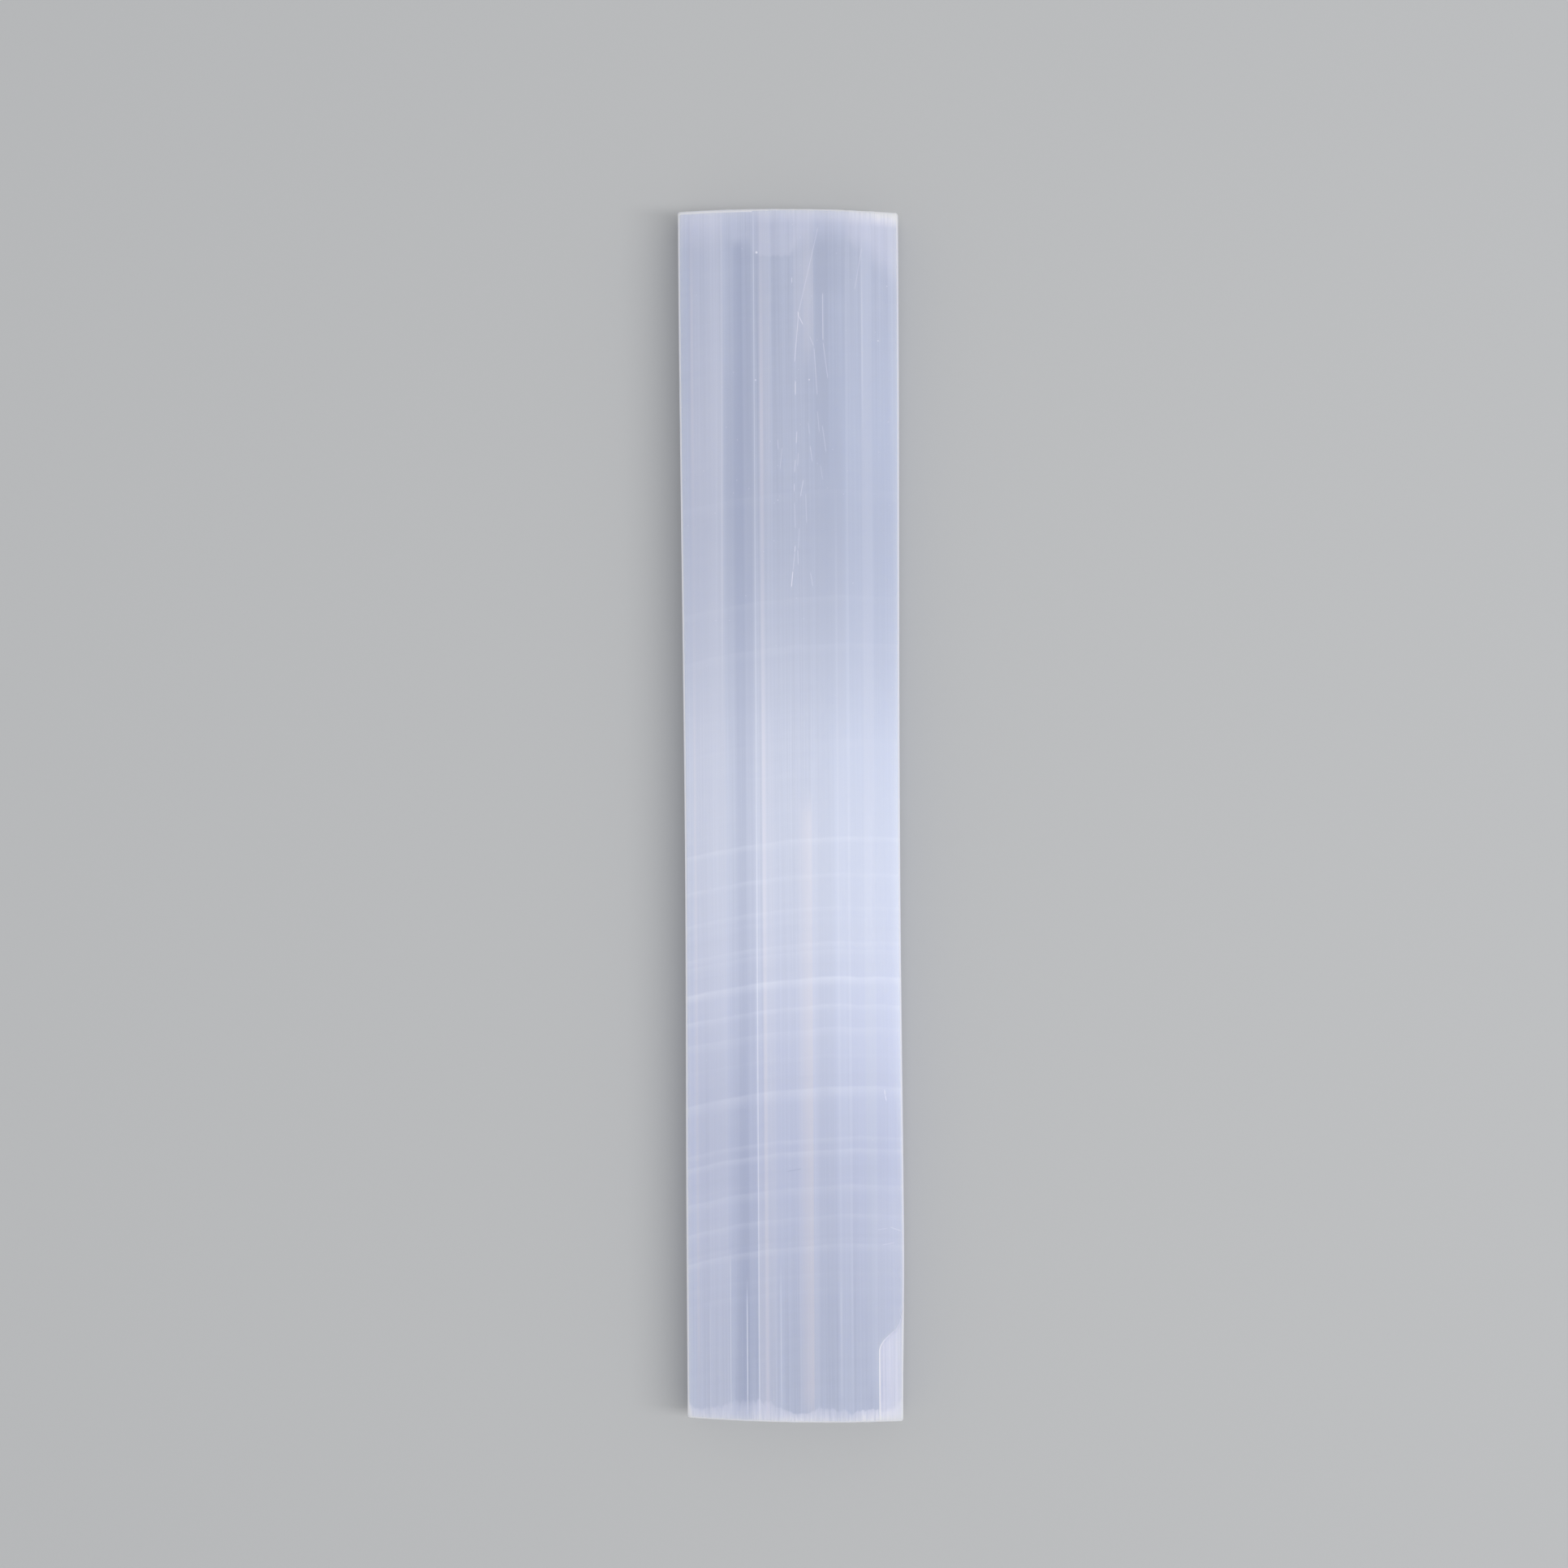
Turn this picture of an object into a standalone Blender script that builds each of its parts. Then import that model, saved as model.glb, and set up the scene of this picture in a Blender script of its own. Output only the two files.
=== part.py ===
"""A selenite bar: one piece of satin spar, the fibrous form of gypsum, sawn to a flat bar and tumbled smooth.

The bar lies on its flat underside, crowned face up, with its length along +Y and its width along +X.
The origin is under the middle of the bar, on the surface that the bar rests on.
"""

import math

import bmesh
import bpy
from mathutils import Vector

MM = 0.001

# The bar's overall form
LENGTH = 200.0 * MM
CROWN_HEIGHT = 10.0 * MM
SIDE_HEIGHT = 8.8 * MM
CROWN_POWER = 2.2
EDGE_RADIUS = 0.5 * MM
SHARPEST_SMOOTH = math.radians(50)

# Half the width along the bar: a slight waist that flares towards both ends
HALF_WAIST = 17.80 * MM
WAIST_PLACE = -11.0 * MM
FLARE_UP, FLARE_UP_RUN = 0.40 * MM, 105.0 * MM
FLARE_DOWN, FLARE_DOWN_RUN = 0.20 * MM, 62.0 * MM
WORN_CORNER, WORN_CORNER_START = 0.35 * MM, -70.0 * MM

# The sawn ends: how far each is out of square, and how far its middle stands proud of its corners
TOP_SKEW, TOP_BULGE = -0.225 * MM, 0.41 * MM
BOTTOM_SKEW, BOTTOM_BULGE = 0.425 * MM, 0.31 * MM

# The flake that split off the corner at +X, -Y: its plan, counted from the bar's middle, and its floor
FLAKE_PLAN = [
    (13.6 * MM, -103.0 * MM),
    (13.6 * MM, -87.9 * MM),
    (14.2 * MM, -86.7 * MM),
    (14.9 * MM, -85.8 * MM),
    (16.7 * MM, -84.7 * MM),
    (19.5 * MM, -82.6 * MM),
    (21.0 * MM, -103.0 * MM),
]
FLAKE_DEPTH = 0.25 * MM
FLAKE_FALL = math.radians(9.5)
CUTTER_HEIGHT = 4.0 * MM
WELD_DISTANCE = 0.01 * MM

# Shallow scoops that the end edges lost: place across the bar, reach in from the end, and depth
BOTTOM_SCOOPS = [
    (-15.8 * MM, 2.4 * MM, 0.16 * MM),
    (-8.4 * MM, 3.6 * MM, 0.20 * MM),
    (-1.6 * MM, 2.4 * MM, 0.16 * MM),
    (4.6 * MM, 2.6 * MM, 0.16 * MM),
    (10.4 * MM, 2.4 * MM, 0.16 * MM),
]
TOP_SCOOPS = [
    (-13.2 * MM, 1.2 * MM, 0.14 * MM),
    (14.2 * MM, 2.2 * MM, 0.18 * MM),
]
SCOOP_SPREAD = 1.4

# How finely the faceted solid follows these forms
COLUMNS, STATIONS, ROWS = 14, 34, 3
COLUMN_CROWDING, STATION_CROWDING = 0.45, 0.65
EDGE_SEGMENTS = 3
SCOOP_SEGMENTS, SCOOP_RINGS = 40, 20

# Looks
CRYSTAL_COLOUR = (0.62, 0.66, 0.76, 1.0)
CRYSTAL_ROUGHNESS = 0.32
SMOOTH_ANGLE = math.radians(35)


def ease(share):
    """0 to 1, level at both ends."""
    share = min(max(share, 0.0), 1.0)
    return (1.0 - math.cos(math.pi * share)) / 2


def crowded(share, crowding):
    """Moves -1 to 1 outwards, so that equal steps come closer together near both ends."""
    return (1.0 - crowding) * share + crowding * math.sin(share * math.pi / 2)


def half_width(side, y):
    """Half the width on one side, -1 or 1, at a place along the bar."""
    above, below = y - WAIST_PLACE, WAIST_PLACE - y
    flare = FLARE_UP * ease(above / FLARE_UP_RUN) + FLARE_DOWN * ease(below / FLARE_DOWN_RUN)
    if side > 0:
        flare -= WORN_CORNER * ease((WORN_CORNER_START - y) / (LENGTH / 2 + WORN_CORNER_START))
    return HALF_WAIST + flare


def end_place(across, skew, bulge):
    """How far an end lies from the bar's middle, at -1 to 1 across it."""
    return LENGTH / 2 - bulge + skew * across + bulge * (1.0 - across * across)


def crown(across):
    """Height of the upper face at -1 to 1 across the bar."""
    return SIDE_HEIGHT + (CROWN_HEIGHT - SIDE_HEIGHT) * (1.0 - abs(across) ** CROWN_POWER)


def bar_point(unit):
    """Where a point of the unit cube, -0.5 to 0.5 each way, lies on the bar."""
    across = crowded(2 * unit.x, COLUMN_CROWDING)
    along = crowded(2 * unit.y, STATION_CROWDING)
    top = end_place(across, TOP_SKEW, TOP_BULGE)
    bottom = -end_place(across, BOTTOM_SKEW, BOTTOM_BULGE)
    y = bottom + (top - bottom) * (along + 1) / 2
    return Vector((across * half_width(across, y), y, (unit.z + 0.5) * crown(across)))


def is_uncut(edge, axis):
    """True for an edge that still runs the unit cube's whole length along an axis."""
    return abs((edge.verts[1].co - edge.verts[0].co)[axis]) > 0.99


def in_collection(collection, name, mesh):
    """A new object for a mesh, in a collection."""
    piece = bpy.data.objects.new(name, mesh)
    collection.objects.link(piece)
    return piece


def sawn_block(collection):
    """The bar before anything broke off it: a cube cut into a grid and drawn out to the bar's form."""
    shape = bmesh.new()
    bmesh.ops.create_cube(shape, size=1.0)
    for axis, parts in enumerate((COLUMNS, STATIONS, ROWS)):
        uncut = [edge for edge in shape.edges if is_uncut(edge, axis)]
        bmesh.ops.subdivide_edges(shape, edges=uncut, cuts=parts - 1, use_grid_fill=True)
    for point in shape.verts:
        point.co = bar_point(point.co)
    mesh = bpy.data.meshes.new("selenite_bar")
    shape.to_mesh(mesh)
    shape.free()
    bar = in_collection(collection, "selenite_bar", mesh)
    rounded = bar.modifiers.new("tumbled edges", "BEVEL")
    rounded.width = EDGE_RADIUS
    rounded.segments = EDGE_SEGMENTS
    rounded.limit_method = "ANGLE"
    rounded.angle_limit = SHARPEST_SMOOTH
    return bar


def flake_cutter(collection):
    """The flake as a tilted slab, whose lower face is the floor that it left."""
    outline = bpy.data.curves.new("flake outline", "CURVE")
    outline.dimensions = "2D"
    outline.fill_mode = "BOTH"
    outline.extrude = CUTTER_HEIGHT / 2
    hinge_x = FLAKE_PLAN[0][0]
    spline = outline.splines.new("POLY")
    spline.points.add(len(FLAKE_PLAN) - 1)
    for point, (x, y) in zip(spline.points, FLAKE_PLAN):
        point.co = (x - hinge_x, y, CUTTER_HEIGHT / 2, 1.0)
    spline.use_cyclic_u = True
    guide = in_collection(collection, "flake outline", outline)
    guide.rotation_euler.y = FLAKE_FALL
    guide.location = (hinge_x, 0.0, crown(hinge_x / HALF_WAIST) - FLAKE_DEPTH)
    bpy.context.view_layer.update()
    solid = bpy.data.meshes.new_from_object(guide.evaluated_get(bpy.context.evaluated_depsgraph_get()))
    shape = bmesh.new()
    shape.from_mesh(solid)
    bmesh.ops.remove_doubles(shape, verts=shape.verts, dist=WELD_DISTANCE)
    bmesh.ops.recalc_face_normals(shape, faces=shape.faces)
    shape.to_mesh(solid)
    shape.free()
    cutter = in_collection(collection, "flake", solid)
    cutter.matrix_world = guide.matrix_world
    bpy.data.objects.remove(guide)
    return cutter


def scoop_cutter(collection, end, place, reach, depth):
    """A broad ball that dips into the upper edge of one end, -1 or 1, to a given depth and reach."""
    skew, bulge = (TOP_SKEW, TOP_BULGE) if end > 0 else (BOTTOM_SKEW, BOTTOM_BULGE)
    across = place / HALF_WAIST
    radius = (reach * reach + depth * depth) / (2 * depth)
    shape = bmesh.new()
    bmesh.ops.create_uvsphere(shape, u_segments=SCOOP_SEGMENTS, v_segments=SCOOP_RINGS, radius=radius)
    bmesh.ops.scale(shape, verts=shape.verts, vec=(SCOOP_SPREAD, 1.0, 1.0))
    mesh = bpy.data.meshes.new("scoop")
    shape.to_mesh(mesh)
    shape.free()
    cutter = in_collection(collection, "scoop", mesh)
    cutter.location = (place, end * end_place(across, skew, bulge), crown(across) - depth + radius)
    return cutter


def cut(piece, cutter):
    """Takes a cutter's shape out of a piece."""
    cutter.hide_render = True
    cutter.display_type = "WIRE"
    removed = piece.modifiers.new(cutter.name, "BOOLEAN")
    removed.operation = "DIFFERENCE"
    removed.object = cutter


def satin_spar():
    """The bar's plain material."""
    material = bpy.data.materials.new("selenite")
    material.use_nodes = True
    shader = material.node_tree.nodes["Principled BSDF"]
    shader.inputs["Base Color"].default_value = CRYSTAL_COLOUR
    shader.inputs["Roughness"].default_value = CRYSTAL_ROUGHNESS
    shader.inputs["Metallic"].default_value = 0.0
    return material


def middle_of(mesh, axis):
    """Halfway between a mesh's lowest and highest points along an axis."""
    places = [point.co[axis] for point in mesh.vertices]
    return (min(places) + max(places)) / 2


def finished(bar, cutters):
    """Settles the modifiers into the mesh, and centres the bar over the origin."""
    for cutter in cutters:
        cut(bar, cutter)
    bpy.context.view_layer.update()
    mesh = bpy.data.meshes.new_from_object(bar.evaluated_get(bpy.context.evaluated_depsgraph_get()))
    bar.modifiers.clear()
    bar.data = mesh
    bar.location = (-middle_of(mesh, 0), -middle_of(mesh, 1), 0.0)
    mesh.shade_smooth()
    mesh.set_sharp_from_angle(angle=SMOOTH_ANGLE)
    mesh.materials.clear()
    mesh.materials.append(satin_spar())


def main():
    for leftover in list(bpy.data.objects):
        bpy.data.objects.remove(leftover)
    parts = bpy.data.collections.new("selenite bar")
    cutters = bpy.data.collections.new("cutters")
    for collection in (parts, cutters):
        bpy.context.scene.collection.children.link(collection)
    bar = sawn_block(parts)
    taken = [flake_cutter(cutters)]
    taken += [scoop_cutter(cutters, -1, *scoop) for scoop in BOTTOM_SCOOPS]
    taken += [scoop_cutter(cutters, 1, *scoop) for scoop in TOP_SCOOPS]
    finished(bar, taken)


main()
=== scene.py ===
"""The looks of a satin-spar selenite bar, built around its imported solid.

The bar's own frame has its length along +Y, its width along +X and its crowned face up. The places of its
markings are counted from the middle of the bar, in metres.
"""

import functools
import itertools
import math
from collections import namedtuple

import bpy
import numpy as np
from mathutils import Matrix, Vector


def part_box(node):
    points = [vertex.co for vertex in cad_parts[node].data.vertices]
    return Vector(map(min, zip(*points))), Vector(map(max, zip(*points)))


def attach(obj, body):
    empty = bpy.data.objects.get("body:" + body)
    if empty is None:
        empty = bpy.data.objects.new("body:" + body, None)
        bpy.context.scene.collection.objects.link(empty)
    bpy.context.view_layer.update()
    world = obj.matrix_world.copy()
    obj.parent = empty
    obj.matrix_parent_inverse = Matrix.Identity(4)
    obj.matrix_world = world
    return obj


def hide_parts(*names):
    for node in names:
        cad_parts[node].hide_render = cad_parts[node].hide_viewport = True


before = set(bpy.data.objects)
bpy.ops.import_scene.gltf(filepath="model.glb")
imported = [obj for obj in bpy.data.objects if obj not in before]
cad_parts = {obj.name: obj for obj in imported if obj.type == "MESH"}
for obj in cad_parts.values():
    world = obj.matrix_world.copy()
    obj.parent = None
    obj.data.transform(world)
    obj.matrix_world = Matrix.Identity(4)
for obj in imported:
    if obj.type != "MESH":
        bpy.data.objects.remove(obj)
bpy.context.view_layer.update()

MM = 0.001
NODE = "selenite_bar"

# The bar's form, as in the solid
LENGTH = 200.0 * MM
HALF_WIDTH = 18.2 * MM
CROWN_HEIGHT = 10.0 * MM
SIDE_HEIGHT = 8.8 * MM
CROWN_POWER = 2.2
EDGE_RADIUS = 0.5 * MM
HALF_WAIST = 17.80 * MM
WAIST_PLACE = -11.0 * MM
FLARE_UP, FLARE_UP_RUN = 0.40 * MM, 105.0 * MM
FLARE_DOWN, FLARE_DOWN_RUN = 0.20 * MM, 62.0 * MM
WORN_CORNER, WORN_CORNER_START = 0.35 * MM, -70.0 * MM
TOP_SKEW, TOP_BULGE = -0.225 * MM, 0.41 * MM
BOTTOM_SKEW, BOTTOM_BULGE = 0.425 * MM, 0.31 * MM

# The split flake at the corner at +X, -Y: its edge from the bar's end round to its side, and its floor
FLAKE_EDGE = 13.6 * MM
FLAKE_OUTLINE = [
    (13.6 * MM, -101.0 * MM),
    (13.6 * MM, -88.2 * MM),
    (13.8 * MM, -87.4 * MM),
    (14.3 * MM, -86.6 * MM),
    (15.2 * MM, -85.7 * MM),
    (16.3 * MM, -84.8 * MM),
    (17.0 * MM, -83.7 * MM),
    (17.4 * MM, -82.3 * MM),
    (17.9 * MM, -80.0 * MM),
    (18.6 * MM, -77.0 * MM),
]
FLAKE_RISER = 0.26 * MM
FLAKE_DEPTH = 0.25 * MM
FLAKE_FALL = math.tan(math.radians(9.5))

# Zones at both ends where the fibres opened, whose whitening is partly painted glow of light let in through
# the ends: place across, reach in from the end, softness and strength
Zone = namedtuple("Zone", "place reach soft strength")
BOTTOM_ZONES = [
    Zone(-18.2 * MM, 3.9 * MM, 1.5 * MM, 1.4),
    Zone(-16.8 * MM, 1.9 * MM, 0.6 * MM, 0.85),
    Zone(-14.3 * MM, 2.2 * MM, 0.6 * MM, 0.62),
    Zone(-11.4 * MM, 2.9 * MM, 0.6 * MM, 0.55),
    Zone(-9.8 * MM, 3.6 * MM, 0.7 * MM, 0.38),
    Zone(-7.6 * MM, 3.6 * MM, 0.7 * MM, 0.42),
    Zone(-6.6 * MM, 3.9 * MM, 0.5 * MM, 0.70),
    Zone(-4.2 * MM, 3.5 * MM, 0.4 * MM, 0.62),
    Zone(-2.9 * MM, 3.0 * MM, 0.3 * MM, 0.70),
    Zone(-1.5 * MM, 2.2 * MM, 0.3 * MM, 0.85),
    Zone(-0.5 * MM, 1.8 * MM, 0.3 * MM, 1.0),
    Zone(1.7 * MM, 1.7 * MM, 0.3 * MM, 1.0),
    Zone(3.8 * MM, 2.8 * MM, 0.6 * MM, 0.7),
    Zone(8.4 * MM, 2.3 * MM, 0.5 * MM, 0.7),
    Zone(9.2 * MM, 1.6 * MM, 0.3 * MM, 0.9),
    Zone(10.1 * MM, 2.2 * MM, 0.3 * MM, 1.2),
    Zone(13.4 * MM, 2.5 * MM, 0.3 * MM, 1.3),
    Zone(14.2 * MM, 2.0 * MM, 0.5 * MM, 1.1),
    Zone(16.5 * MM, 3.0 * MM, 1.2 * MM, 0.8),
    Zone(18.2 * MM, 5.0 * MM, 2.0 * MM, 1.1),
]
TOP_ZONES = [
    Zone(-18.2 * MM, 8.0 * MM, 7.0 * MM, 0.75),
    Zone(-11.1 * MM, 8.0 * MM, 7.0 * MM, 0.70),
    Zone(-10.8 * MM, 6.4 * MM, 4.0 * MM, 0.26),
    Zone(-6.1 * MM, 7.4 * MM, 3.0 * MM, 0.30),
    Zone(-5.7 * MM, 7.6 * MM, 0.8 * MM, 0.40),
    Zone(-4.4 * MM, 8.1 * MM, 0.5 * MM, 0.42),
    Zone(0.2 * MM, 8.1 * MM, 0.6 * MM, 0.56),
    Zone(1.6 * MM, 8.0 * MM, 5.0 * MM, 0.72),
    Zone(4.1 * MM, 7.0 * MM, 6.0 * MM, 0.85),
    Zone(4.4 * MM, 6.0 * MM, 5.5 * MM, 0.60),
    Zone(9.0 * MM, 6.2 * MM, 5.0 * MM, 0.60),
    Zone(10.4 * MM, 6.6 * MM, 2.6 * MM, 0.80),
    Zone(13.0 * MM, 8.6 * MM, 5.0 * MM, 0.85),
    Zone(15.0 * MM, 11.5 * MM, 6.0 * MM, 0.85),
    Zone(18.2 * MM, 14.5 * MM, 7.0 * MM, 0.85),
]

# The whitened lip of the top end, partly painted glow of light let in through the end: place across and
# strength, and how far in it reaches
TOP_LIP = [
    (-18.2 * MM, 0.0),
    (-8.0 * MM, 0.07),
    (-5.0 * MM, 0.22),
    (1.5 * MM, 0.42),
    (4.0 * MM, 0.26),
    (7.0 * MM, 0.30),
    (10.0 * MM, 0.62),
    (13.0 * MM, 0.98),
    (16.0 * MM, 1.75),
    (18.2 * MM, 2.0),
]
TOP_LIP_REACH = 2.8 * MM

# The thin crescent bevel at the top left: its reach in from the end and its drop, where it tapers out and
# where it is widest, at -1 to 1 across the bar, and how much painted light whitens it, as it faces away from
# the window
CRESCENT_REACH, CRESCENT_DROP = 0.75 * MM, 0.22 * MM
CRESCENT_TIP, CRESCENT_WIDEST = 0.22, -0.60
CRESCENT_PAINTED_LIGHT = 0.95
THINNEST_BEVEL = 0.01 * MM

# How deep the opened fibres are worn at each end, and how ragged their edge is
End = namedtuple("End", "zones wear raggedness")
BOTTOM_END = End(BOTTOM_ZONES, 0.16 * MM, 0.35)
TOP_END = End(TOP_ZONES, 0.06 * MM, 0.08)
COMB_SIZE, COMB_SEED = (0.42 * MM, 6.0 * MM, 30 * MM), 41

# Low relief: its depth, the size of its features across, along and up, and the seed of its noise
Relief = namedtuple("Relief", "depth size seed")
FIBRE_GROOVES = [
    Relief(0.030 * MM, (3.1 * MM, 70 * MM, 3.1 * MM), 11),
    Relief(0.016 * MM, (1.1 * MM, 46 * MM, 1.1 * MM), 12),
    Relief(0.008 * MM, (0.52 * MM, 28 * MM, 0.52 * MM), 13),
]
END_GRAIN = [
    Relief(0.05 * MM, (1.7 * MM, 1.7 * MM, 1.7 * MM), 21),
    Relief(0.045 * MM, (0.6 * MM, 0.6 * MM, 0.6 * MM), 22),
]
FLAKE_STEPS = [Relief(0.05 * MM, (0.5 * MM, 18 * MM, 30 * MM), 51)]
EDGE_NICKS, NICKED_SHARE = Relief(0.10 * MM, (0.7 * MM, 2.2 * MM, 0.7 * MM), 31), 0.22
NOISE_VALUES = 4096
NOISE_PRIMES = (73856093, 19349663, 83492791)

# How finely the surface is modelled
COLUMN = 0.26 * MM
STATION_FINE, STATION_COARSE = 0.32 * MM, 1.35 * MM
ROW = 0.5 * MM
FINE_BELOW, FINE_ABOVE = -81.0 * MM, 90.0 * MM
ROUND_STEPS = 3
SHARPEST_SMOOTH = math.radians(38)

# How far a direction has to lean to count as up or down, and how far off the opened fibres and the flake
# their masks still tell distances apart
FACING = 0.02
FAR_OUTSIDE = -4
FLAKE_MASK_REACH = 2 * MM


# Form

def ease(share):
    """0 to 1, level at both ends."""
    share = np.clip(share, 0.0, 1.0)
    return (1.0 - np.cos(math.pi * share)) / 2


def half_width(side, y):
    """Half the width on one side of the bar at a place along it."""
    above, below = y - WAIST_PLACE, WAIST_PLACE - y
    flare = FLARE_UP * ease(above / FLARE_UP_RUN) + FLARE_DOWN * ease(below / FLARE_DOWN_RUN)
    worn = WORN_CORNER * ease((WORN_CORNER_START - y) / (LENGTH / 2 + WORN_CORNER_START))
    return HALF_WAIST + flare - np.where(side > 0, worn, 0.0)


def end_place(across, skew, bulge):
    """How far an end lies from the bar's middle, at -1 to 1 across it."""
    return LENGTH / 2 - bulge + skew * across + bulge * (1.0 - across * across)


def crown(across):
    """Height of the upper face at -1 to 1 across the bar."""
    return SIDE_HEIGHT + (CROWN_HEIGHT - SIDE_HEIGHT) * (1.0 - np.abs(across) ** CROWN_POWER)


def value_noise(points, cell, seed):
    """Smooth noise from 0 to 1, with one random value at each corner of a lattice of cells."""
    table = np.random.default_rng(seed).random(NOISE_VALUES)
    scaled = points / np.array(cell)
    base = np.floor(scaled).astype(np.int64)
    part = scaled - base
    part = part * part * (3 - 2 * part)
    total = np.zeros(len(points))
    for corner in itertools.product((0, 1), repeat=3):
        mixed = (base + np.array(corner)) * np.array(NOISE_PRIMES)
        index = (mixed[:, 0] ^ mixed[:, 1] ^ mixed[:, 2]) % NOISE_VALUES
        total += np.prod(np.where(corner, part, 1 - part), axis=1) * table[index]
    return total


def relief(points, layers):
    """How deep a stack of low relief is at each point."""
    return sum(layer.depth * value_noise(points, layer.size, layer.seed) for layer in layers)


def spaced(low, high, step):
    """Evenly spaced places from low to high, about a step apart."""
    return np.linspace(low, high, max(2, round((high - low) / step) + 1))


def with_rounding(inner):
    """Adds the grid lines that the rounded edges need outside the inner ones."""
    angles = np.linspace(0, math.pi / 4, ROUND_STEPS + 1)[1:]
    out = EDGE_RADIUS * np.tan(angles)
    return np.concatenate([inner[0] - out[::-1], inner, inner[-1] + out])


def grid_lines():
    """The places of the surface's grid lines across, along and up a plain block."""
    edge = HALF_WIDTH - EDGE_RADIUS
    across = spaced(-edge, edge, COLUMN)
    end = LENGTH / 2 - EDGE_RADIUS
    along = np.concatenate([
        spaced(-end, FINE_BELOW, STATION_FINE)[:-1],
        spaced(FINE_BELOW, FINE_ABOVE, STATION_COARSE)[:-1],
        spaced(FINE_ABOVE, end, STATION_FINE),
    ])
    up = spaced(EDGE_RADIUS, CROWN_HEIGHT - EDGE_RADIUS, ROW)
    return [with_rounding(lines) for lines in (across, along, up)]


def block_surface(lines):
    """Points and four-sided faces of a block's surface, cut along the grid lines."""
    counts = [len(line) for line in lines]
    numbers = np.full(counts, -1)
    shell = np.zeros(counts, bool)
    for axis in range(3):
        ends = [slice(None)] * 3
        ends[axis] = [0, -1]
        shell[tuple(ends)] = True
    numbers[shell] = np.arange(shell.sum())
    where = np.argwhere(shell)
    points = np.stack([lines[axis][where[:, axis]] for axis in range(3)], axis=1)
    faces = []
    for axis in range(3):
        for side in (0, -1):
            sheet = np.take(numbers, side, axis=axis)
            corners = [sheet[:-1, :-1], sheet[1:, :-1], sheet[1:, 1:], sheet[:-1, 1:]]
            outward = (axis != 1) == (side == -1)
            loop = corners if outward else corners[::-1]
            faces.append(np.stack([c.ravel() for c in loop], axis=1))
    return points, np.concatenate(faces)


def rounded(points):
    """Rounds the block's edges and corners. Returns the points and the outward direction at each."""
    low = np.array([-HALF_WIDTH, -LENGTH / 2, 0.0]) + EDGE_RADIUS
    high = np.array([HALF_WIDTH, LENGTH / 2, CROWN_HEIGHT]) - EDGE_RADIUS
    core = np.clip(points, low, high)
    out = points - core
    out /= np.linalg.norm(out, axis=1)[:, None]
    return core + EDGE_RADIUS * out, out


def drawn_out(points):
    """Takes the block to the bar's form. Also gives each point's place across and distance to both ends."""
    across = points[:, 0] / HALF_WIDTH
    along = points[:, 1] / (LENGTH / 2)
    top = end_place(across, TOP_SKEW, TOP_BULGE)
    bottom = -end_place(across, BOTTOM_SKEW, BOTTOM_BULGE)
    y = bottom + (top - bottom) * (along + 1) / 2
    x = across * half_width(across, y)
    z = points[:, 2] / CROWN_HEIGHT * crown(across)
    return np.stack([x, y, z], axis=1), across, top - y, y - bottom


def inside_flake(x, y):
    """How far inside the flake's edge each point lies, seen from above; negative outside it."""
    nearest = np.full(len(x), np.inf)
    inside = np.zeros(len(x), bool)
    for (x0, y0), (x1, y1) in zip(FLAKE_OUTLINE, FLAKE_OUTLINE[1:]):
        run, rise = x1 - x0, y1 - y0
        along = np.clip(((x - x0) * run + (y - y0) * rise) / (run * run + rise * rise), 0, 1)
        nearest = np.minimum(nearest, np.hypot(x - x0 - along * run, y - y0 - along * rise))
        inside |= (y >= y0) & (y < y1) & (x > x0 + run * (y - y0) / rise)
    return np.where(inside, nearest, -nearest)


def zone_at(zones, x):
    """The reach, softness and strength of an end's opened fibres at places across the bar."""
    places, *rest = zip(*zones)
    return [np.interp(x, places, values) for values in rest]


def worn_in(form, out, rim):
    """How far the grooves, the nicks and the end grain bring each point in."""
    around, lengthwise = np.hypot(out[:, 0], out[:, 2]), np.abs(out[:, 1])
    nicked = value_noise(form, EDGE_NICKS.size, EDGE_NICKS.seed) - (1 - NICKED_SHARE)
    nicked = np.clip(nicked / NICKED_SHARE, 0, 1)
    sides = relief(form, FIBRE_GROOVES) * around + EDGE_NICKS.depth * nicked * rim
    ends = relief(form, END_GRAIN) * lengthwise
    return np.stack([sides, ends, sides], axis=1) * out


def opened(end, x, distance, comb):
    """An end's opened fibres, which also set its painted glow, at each point: how far inside, their strength,
    how near the end, and wear.
    """
    reach, soft, strength = zone_at(end.zones, x)
    reach = reach * (1 + end.raggedness * (comb - 0.5))
    inside = np.clip((reach - distance) / soft, FAR_OUTSIDE, 1)
    near = np.clip(1 - distance / reach, 0, 1)
    return inside, strength, near, end.wear * near * (0.75 + 0.5 * comb)


def crescent_bevel(across, to_top):
    """1 at the outer edge of the crescent bevel, and 0 at its inner edge."""
    share = np.clip((CRESCENT_TIP - across) / (CRESCENT_TIP - CRESCENT_WIDEST), 0, 1)
    return np.clip(1 - to_top / np.maximum(CRESCENT_REACH * share, THINNEST_BEVEL), 0, 1)


def flake_floor(form):
    """Height of the flake's tilted and stepped floor."""
    fall = FLAKE_FALL * (form[:, 0] - FLAKE_EDGE)
    return crown(FLAKE_EDGE / HALF_WAIST) - FLAKE_DEPTH - fall - relief(form, FLAKE_STEPS)


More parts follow.
